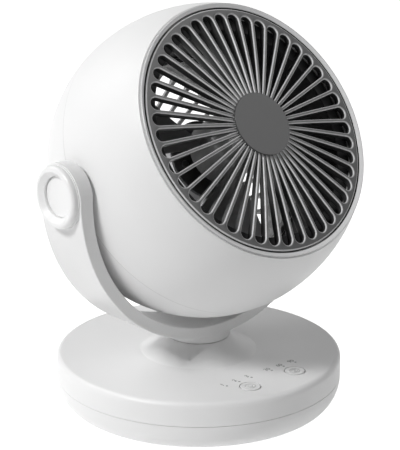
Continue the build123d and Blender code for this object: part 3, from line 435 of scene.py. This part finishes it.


# the section's corners as (radius, station, share of the painted shade), from the foot over the lip
lip_turn = np.linspace(-0.15, math.radians(125), 7)
lip_shade = [0.45, 0.35, 0.2, 0.1, 0, 0, 0]
trim_section = np.array(
    [(trim_outer, 66.0, 0.5)]
    + [
        (trim_outer - lip_round + lip_round * math.cos(t), 68.6 + lip_round * math.sin(t), shade)
        for t, shade in zip(lip_turn, lip_shade)
    ]
    + [(86.9, 68.5, 0), (86.2, 68.0, 0), (85.8, 67.6, 0.3), (trim_inner, 67.2, 1)]
    + [(trim_inner, trim_back, 1), (88.4, trim_back, 0.55)]
)
trim_points, trim_faces = head_ring(trim_section[:, :2], ring_steps)
trim_band = new_piece(
    "trim_band",
    trim_points,
    trim_faces,
    trim_grey,
    "head",
    np.repeat(trim_section[:, 2], ring_steps),
)
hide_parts("trim_ring")

# Fasteners and drive shafts.
# Zinc-plated steel screws and bolts, a turned post and nut, and the motor's bright steel parts.


def worked_metal(name, colour, roughness, brushed):
    """Metal with fine grain: noise moves the roughness and the tone, and a brushed piece has it
    drawn out along the upright axis."""
    material = bpy.data.materials.new(name)
    material.use_nodes = True
    tree = material.node_tree
    shader = tree.nodes["Principled BSDF"]
    shader.inputs["Metallic"].default_value = 1
    place = tree.nodes.new("ShaderNodeTexCoord")
    stretch = tree.nodes.new("ShaderNodeMapping")
    stretch.inputs["Scale"].default_value = (1, 1, 1 if not brushed else 0.05)
    streaks = tree.nodes.new("ShaderNodeTexNoise")
    streaks.inputs["Scale"].default_value = 2500
    streaks.inputs["Detail"].default_value = 2
    gloss = tree.nodes.new("ShaderNodeMapRange")
    gloss.inputs["To Min"].default_value = roughness - 0.08
    gloss.inputs["To Max"].default_value = roughness + 0.08
    tone = tree.nodes.new("ShaderNodeMix")
    tone.data_type = "RGBA"
    tone.inputs["A"].default_value = (*[c * 0.92 for c in colour], 1)
    tone.inputs["B"].default_value = (*colour, 1)
    link = tree.links.new
    link(place.outputs["Object"], stretch.inputs["Vector"])
    link(stretch.outputs["Vector"], streaks.inputs["Vector"])
    link(streaks.outputs["Fac"], gloss.inputs["Value"])
    link(streaks.outputs["Fac"], tone.inputs["Factor"])
    link(tone.outputs["Result"], shader.inputs["Base Color"])
    link(gloss.outputs["Result"], shader.inputs["Roughness"])
    return material


zinc = worked_metal("zinc", (0.6, 0.61, 0.62), 0.32, False)
drawn_steel = worked_metal("drawn_steel", (0.55, 0.55, 0.56), 0.3, True)
copper = worked_metal("copper", (0.72, 0.33, 0.16), 0.35, False)
dark_iron = worked_metal("dark_iron", (0.16, 0.16, 0.17), 0.5, False)
dress(
    zinc, "base_screws", "ballast_screws", "board_screws", "swing_motor_screws", "post_screws",
    "duct_screws", "motor_screws", "pivot_bolts", "post_nut", "swivel_post",
)
dress(
    drawn_steel, "motor_housing", "motor_cap", "motor_shaft", "front_bearing", "rear_bearing",
    "swing_motor",
)
dress(copper, "motor_stator")
dress(dark_iron, "motor_rotor", "ballast_plate")

# Feet, washers, board and switches inside the base.
# Rubber feet glued in shallow seats, acetal washers, a green board and black switch bodies.
foot_rubber = moulded_skin("foot_rubber", (0.03, 0.03, 0.03), 0.7, 0.0008, 0.00004, tint=0.1)
washer_skin = moulded_skin("washer_skin", (0.08, 0.08, 0.08), 0.4, 0.001, 0.00001, tint=0.1)
board_skin = moulded_skin("board_skin", (0.03, 0.2, 0.08), 0.3, 0.002, 0.00001, tint=0.1, coat=0.3)
switch_skin = moulded_skin("switch_skin", (0.02, 0.02, 0.02), 0.45, 0.001, 0.00001, tint=0.1)
dress(foot_rubber, "rubber_foot_1", "rubber_foot_2", "rubber_foot_3", "rubber_foot_4")
dress(washer_skin, "thrust_washer", "friction_washers")
dress(board_skin, "control_board")
dress(switch_skin, "power_switch", "swing_switch", "power_inlet")

# Push keys, their raised signs, and the numerals printed on the cover.
# Each key is one satin white moulding with a soft edge, in a round hole of the cover; its sign
# stands up 0.3 mm. The numerals are pad-printed in grey: speeds on the left, angles on the right.
print_grey = moulded_skin("print_grey", (0.2, 0.2, 0.2), 0.5, 0.0005, 0.000005, tint=0.05)
button_x, button_y = 20.6, -76.0
button_top = 38.3
light_pitch = 11.2
numeral_y = -61.9
numeral_height = 3.4
numeral_shift = -1.2
numeral_level = 38.02
ink = 0.04
key_radius = 6.75
key_edge = 0.5
flange_radius = 8.7
flange_top, flange_under = 35.5, 34.3
plunger_radius, plunger_step, tip_radius, tip_end = 2.6, 28.8, 1.7, 27.0


def flat_text(name, words, place, height, thickness, material, body):
    """Words as one thin mesh, centred at a place in millimetres and lying on the surface there."""
    curve = bpy.data.curves.new(name, "FONT")
    curve.body = words
    curve.size = height * mm / 0.7
    curve.offset = 0.00008
    curve.extrude = thickness * mm / 2
    curve.align_x = "CENTER"
    curve.align_y = "CENTER"
    curve.resolution_u = 4
    letters = bpy.data.objects.new(name, curve)
    bpy.context.scene.collection.objects.link(letters)
    mesh = bpy.data.meshes.new_from_object(letters.evaluated_get(bpy.context.evaluated_depsgraph_get()))
    bpy.data.objects.remove(letters)
    mesh.transform(Matrix.Translation(Vector(place) * mm))
    mesh.materials.clear()
    mesh.materials.append(material)
    piece = bpy.data.objects.new(name, mesh)
    bpy.context.scene.collection.objects.link(piece)
    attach(piece, body)


key_skin = moulded_skin("key_skin", (0.84, 0.84, 0.84), 0.35, 0.0008, 0.00001, coat=0.1)
# The signs are tinted grey: painted shade that shows their low relief on the white key.
sign_painted_shade = moulded_skin("sign_painted_shade", (0.66, 0.66, 0.66), 0.4, 0.0008, 0.00001)


def turned_key(middle, profile, count):
    """Points and faces of a profile of (radius, height) turned about the upright line through
    middle."""
    around = np.linspace(0, 2 * math.pi, count, endpoint=False)
    ring = np.stack(
        [
            middle[0] + profile[:, :1] * np.cos(around),
            middle[1] + profile[:, :1] * np.sin(around),
            np.repeat(profile[:, 1:], count, 1),
        ],
        -1,
    )
    here = np.arange(len(profile) * count).reshape(len(profile), count)
    down = here[1:]
    here = here[:-1]
    quads = np.stack([here, np.roll(here, -1, 1), np.roll(down, -1, 1), down], -1)
    return ring.reshape(-1, 3) * mm, quads.reshape(-1, 4).tolist()


def raised_arc(middle, inner, outer, start, end, top, sink):
    """Points and faces of a flat band with a soft top, between two angles in degrees, on a key."""
    around = np.radians(np.linspace(start, end, max(9, int(abs(end - start) / 6))))
    section = np.array(
        [
            (inner, top - sink),
            (inner + 0.1, top),
            (outer - 0.1, top),
            (outer, top - sink),
            (outer, top - 0.6),
            (inner, top - 0.6),
        ]
    )
    ring = np.stack(
        [
            middle[0] + section[:, :1] * np.cos(around),
            middle[1] + section[:, :1] * np.sin(around),
            np.repeat(section[:, 1:], len(around), 1),
        ],
        -1,
    )
    here = np.arange(ring[..., 0].size).reshape(len(section), len(around))
    down = np.roll(here, -1, 0)
    quads = np.stack([here[:, :-1], here[:, 1:], down[:, 1:], down[:, :-1]], -1)
    ends = [here[:, 0].tolist(), here[::-1, -1].tolist()]
    return ring.reshape(-1, 3) * mm, quads.reshape(-1, 4).tolist() + ends


for side, words in ((-1, ("1", "2", "3")), (1, ("30", "60", "90"))):
    for step, word in zip((-1, 0, 1), words):
        flat_text(
            f"numeral_{word}",
            word,
            (side * button_x + step * light_pitch + numeral_shift, numeral_y, numeral_level),
            numeral_height,
            ink,
            print_grey,
            "base",
        )
# a key's half section, from the middle of its slightly dished face, over the edge, out to the
# flange that keeps it in the cover, and down its plunger
edge_turn = np.linspace(math.pi / 2, 0, 6)
key_profile = np.array(
    [(0.0, button_top - 0.12), (3.4, button_top - 0.12), (5.6, button_top - 0.06)]
    + [
        (
            key_radius - key_edge + key_edge * math.cos(t),
            button_top - key_edge + key_edge * math.sin(t),
        )
        for t in edge_turn
    ]
    + [(key_radius, flange_top), (flange_radius, flange_top), (flange_radius, flange_under)]
    + [(plunger_radius, flange_under), (plunger_radius, plunger_step), (tip_radius, plunger_step)]
    + [(tip_radius, tip_end), (0.0, tip_end)]
)
# rings and arcs of each sign, as (inner radius, outer radius, first angle, last angle)
key_signs = {
    "power": (-1, [(3.0, 3.7, 0, 360), (1.1, 1.75, 125, 415)]),
    "swing": (1, [(3.0, 3.7, 0, 360), (1.6, 2.2, 30, 150), (1.6, 2.2, 210, 330), (0.2, 0.8, 0, 360)]),
}
for body, (side, arcs) in key_signs.items():
    key_points, key_faces = turned_key((side * button_x, button_y), key_profile, 96)
    key = new_piece(
        f"{body}_key", key_points, key_faces, key_skin, f"{body}_button"
    )
    key.data.set_sharp_from_angle(angle=math.radians(50))
    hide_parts(f"{body}_button")
    for number, (inner, outer, start, end) in enumerate(arcs, start=1):
        sign_points, sign_faces = raised_arc(
            (side * button_x, button_y), inner, outer, start, end, button_top + 0.2, 0.2
        )
        new_piece(
            f"{body}_sign_{number}",
            sign_points,
            sign_faces,
            sign_painted_shade,
            f"{body}_button",
        )

# Table and light.
# A pale light table that the camera and reflections see as white, with the object's faint shadow.
# A soft key lamp stands on the left, weaker ones behind it and on the right, in a dim surround.


def seen_ray(tree):
    """Factor of 1 for camera, glossy and transmission rays, and of 0 for light that bounces."""
    rays = tree.nodes.new("ShaderNodeLightPath")
    total = None
    for kind in ("Is Camera Ray", "Is Glossy Ray", "Is Transmission Ray"):
        if total is None:
            total = rays.outputs[kind]
        else:
            either = tree.nodes.new("ShaderNodeMath")
            either.operation = "MAXIMUM"
            tree.links.new(total, either.inputs[0])
            tree.links.new(rays.outputs[kind], either.inputs[1])
            total = either.outputs["Value"]
    return total


floor_mesh = bpy.data.meshes.new("floor")
floor_mesh.from_pydata([(-3, -3, 0), (3, -3, 0), (3, 3, 0), (-3, 3, 0)], [], [(0, 1, 2, 3)])
floor = bpy.data.objects.new("floor", floor_mesh)
bpy.context.scene.collection.objects.link(floor)
floor_paint = bpy.data.materials.new("floor_paint")
floor_paint.use_nodes = True
floor_tree = floor_paint.node_tree
floor_tree.nodes.clear()
floor_out = floor_tree.nodes.new("ShaderNodeOutputMaterial")
floor_mix = floor_tree.nodes.new("ShaderNodeMixShader")
floor_sum = floor_tree.nodes.new("ShaderNodeAddShader")
floor_under = floor_tree.nodes.new("ShaderNodeAddShader")
floor_seen = floor_tree.nodes.new("ShaderNodeEmission")
floor_seen.inputs["Strength"].default_value = 0.95
floor_glow = floor_tree.nodes.new("ShaderNodeEmission")
floor_glow.inputs["Strength"].default_value = 0.2
floor_matt = floor_tree.nodes.new("ShaderNodeBsdfDiffuse")
floor_matt.inputs["Color"].default_value = (0.8, 0.8, 0.8, 1)
floor_link = floor_tree.links.new
floor_link(floor_seen.outputs["Emission"], floor_sum.inputs[0])
floor_link(floor_matt.outputs["BSDF"], floor_sum.inputs[1])
floor_link(floor_glow.outputs["Emission"], floor_under.inputs[0])
floor_link(floor_matt.outputs["BSDF"], floor_under.inputs[1])
floor_link(seen_ray(floor_tree), floor_mix.inputs["Fac"])
floor_link(floor_under.outputs["Shader"], floor_mix.inputs[1])
floor_link(floor_sum.outputs["Shader"], floor_mix.inputs[2])
floor_link(floor_mix.outputs["Shader"], floor_out.inputs["Surface"])
floor_mesh.materials.append(floor_paint)

surround = bpy.data.worlds.new("surround")
bpy.context.scene.world = surround
surround.use_nodes = True
sky = surround.node_tree
sky_seen = sky.nodes.new("ShaderNodeBackground")
sky_mix = sky.nodes.new("ShaderNodeMixShader")
sky_lit = sky.nodes["Background"]
sky_lit.inputs["Color"].default_value = (1, 1, 1, 1)
sky_lit.inputs["Strength"].default_value = 0.05
sky_seen.inputs["Color"].default_value = (1, 1, 1, 1)
sky.links.new(seen_ray(sky), sky_mix.inputs["Fac"])
sky.links.new(sky_lit.outputs["Background"], sky_mix.inputs[1])
sky.links.new(sky_seen.outputs["Background"], sky_mix.inputs[2])
sky.links.new(sky_mix.outputs["Shader"], sky.nodes["World Output"].inputs["Surface"])


def soft_lamp(name, turn, rise, size, power):
    """Square area lamp 2 m from the object, at the given degrees from the front and above level."""
    aim = Vector((0, 0, 0.12))
    turn, rise = math.radians(turn), math.radians(rise)
    way = Vector(
        (math.sin(turn) * math.cos(rise), -math.cos(turn) * math.cos(rise), math.sin(rise))
    )
    lamp_data = bpy.data.lights.new(name, "AREA")
    lamp_data.size = size
    lamp_data.energy = power
    lamp = bpy.data.objects.new(name, lamp_data)
    lamp.matrix_world = Matrix.Translation(aim + way * 2) @ (
        way.to_track_quat("Z", "Y").to_matrix().to_4x4()
    )
    bpy.context.scene.collection.objects.link(lamp)


soft_lamp("key_lamp", -92, 42, 0.4, 25)
soft_lamp("back_lamp", -150, 42, 0.9, 10)
soft_lamp("fill_lamp", 45, 42, 0.9, 5)
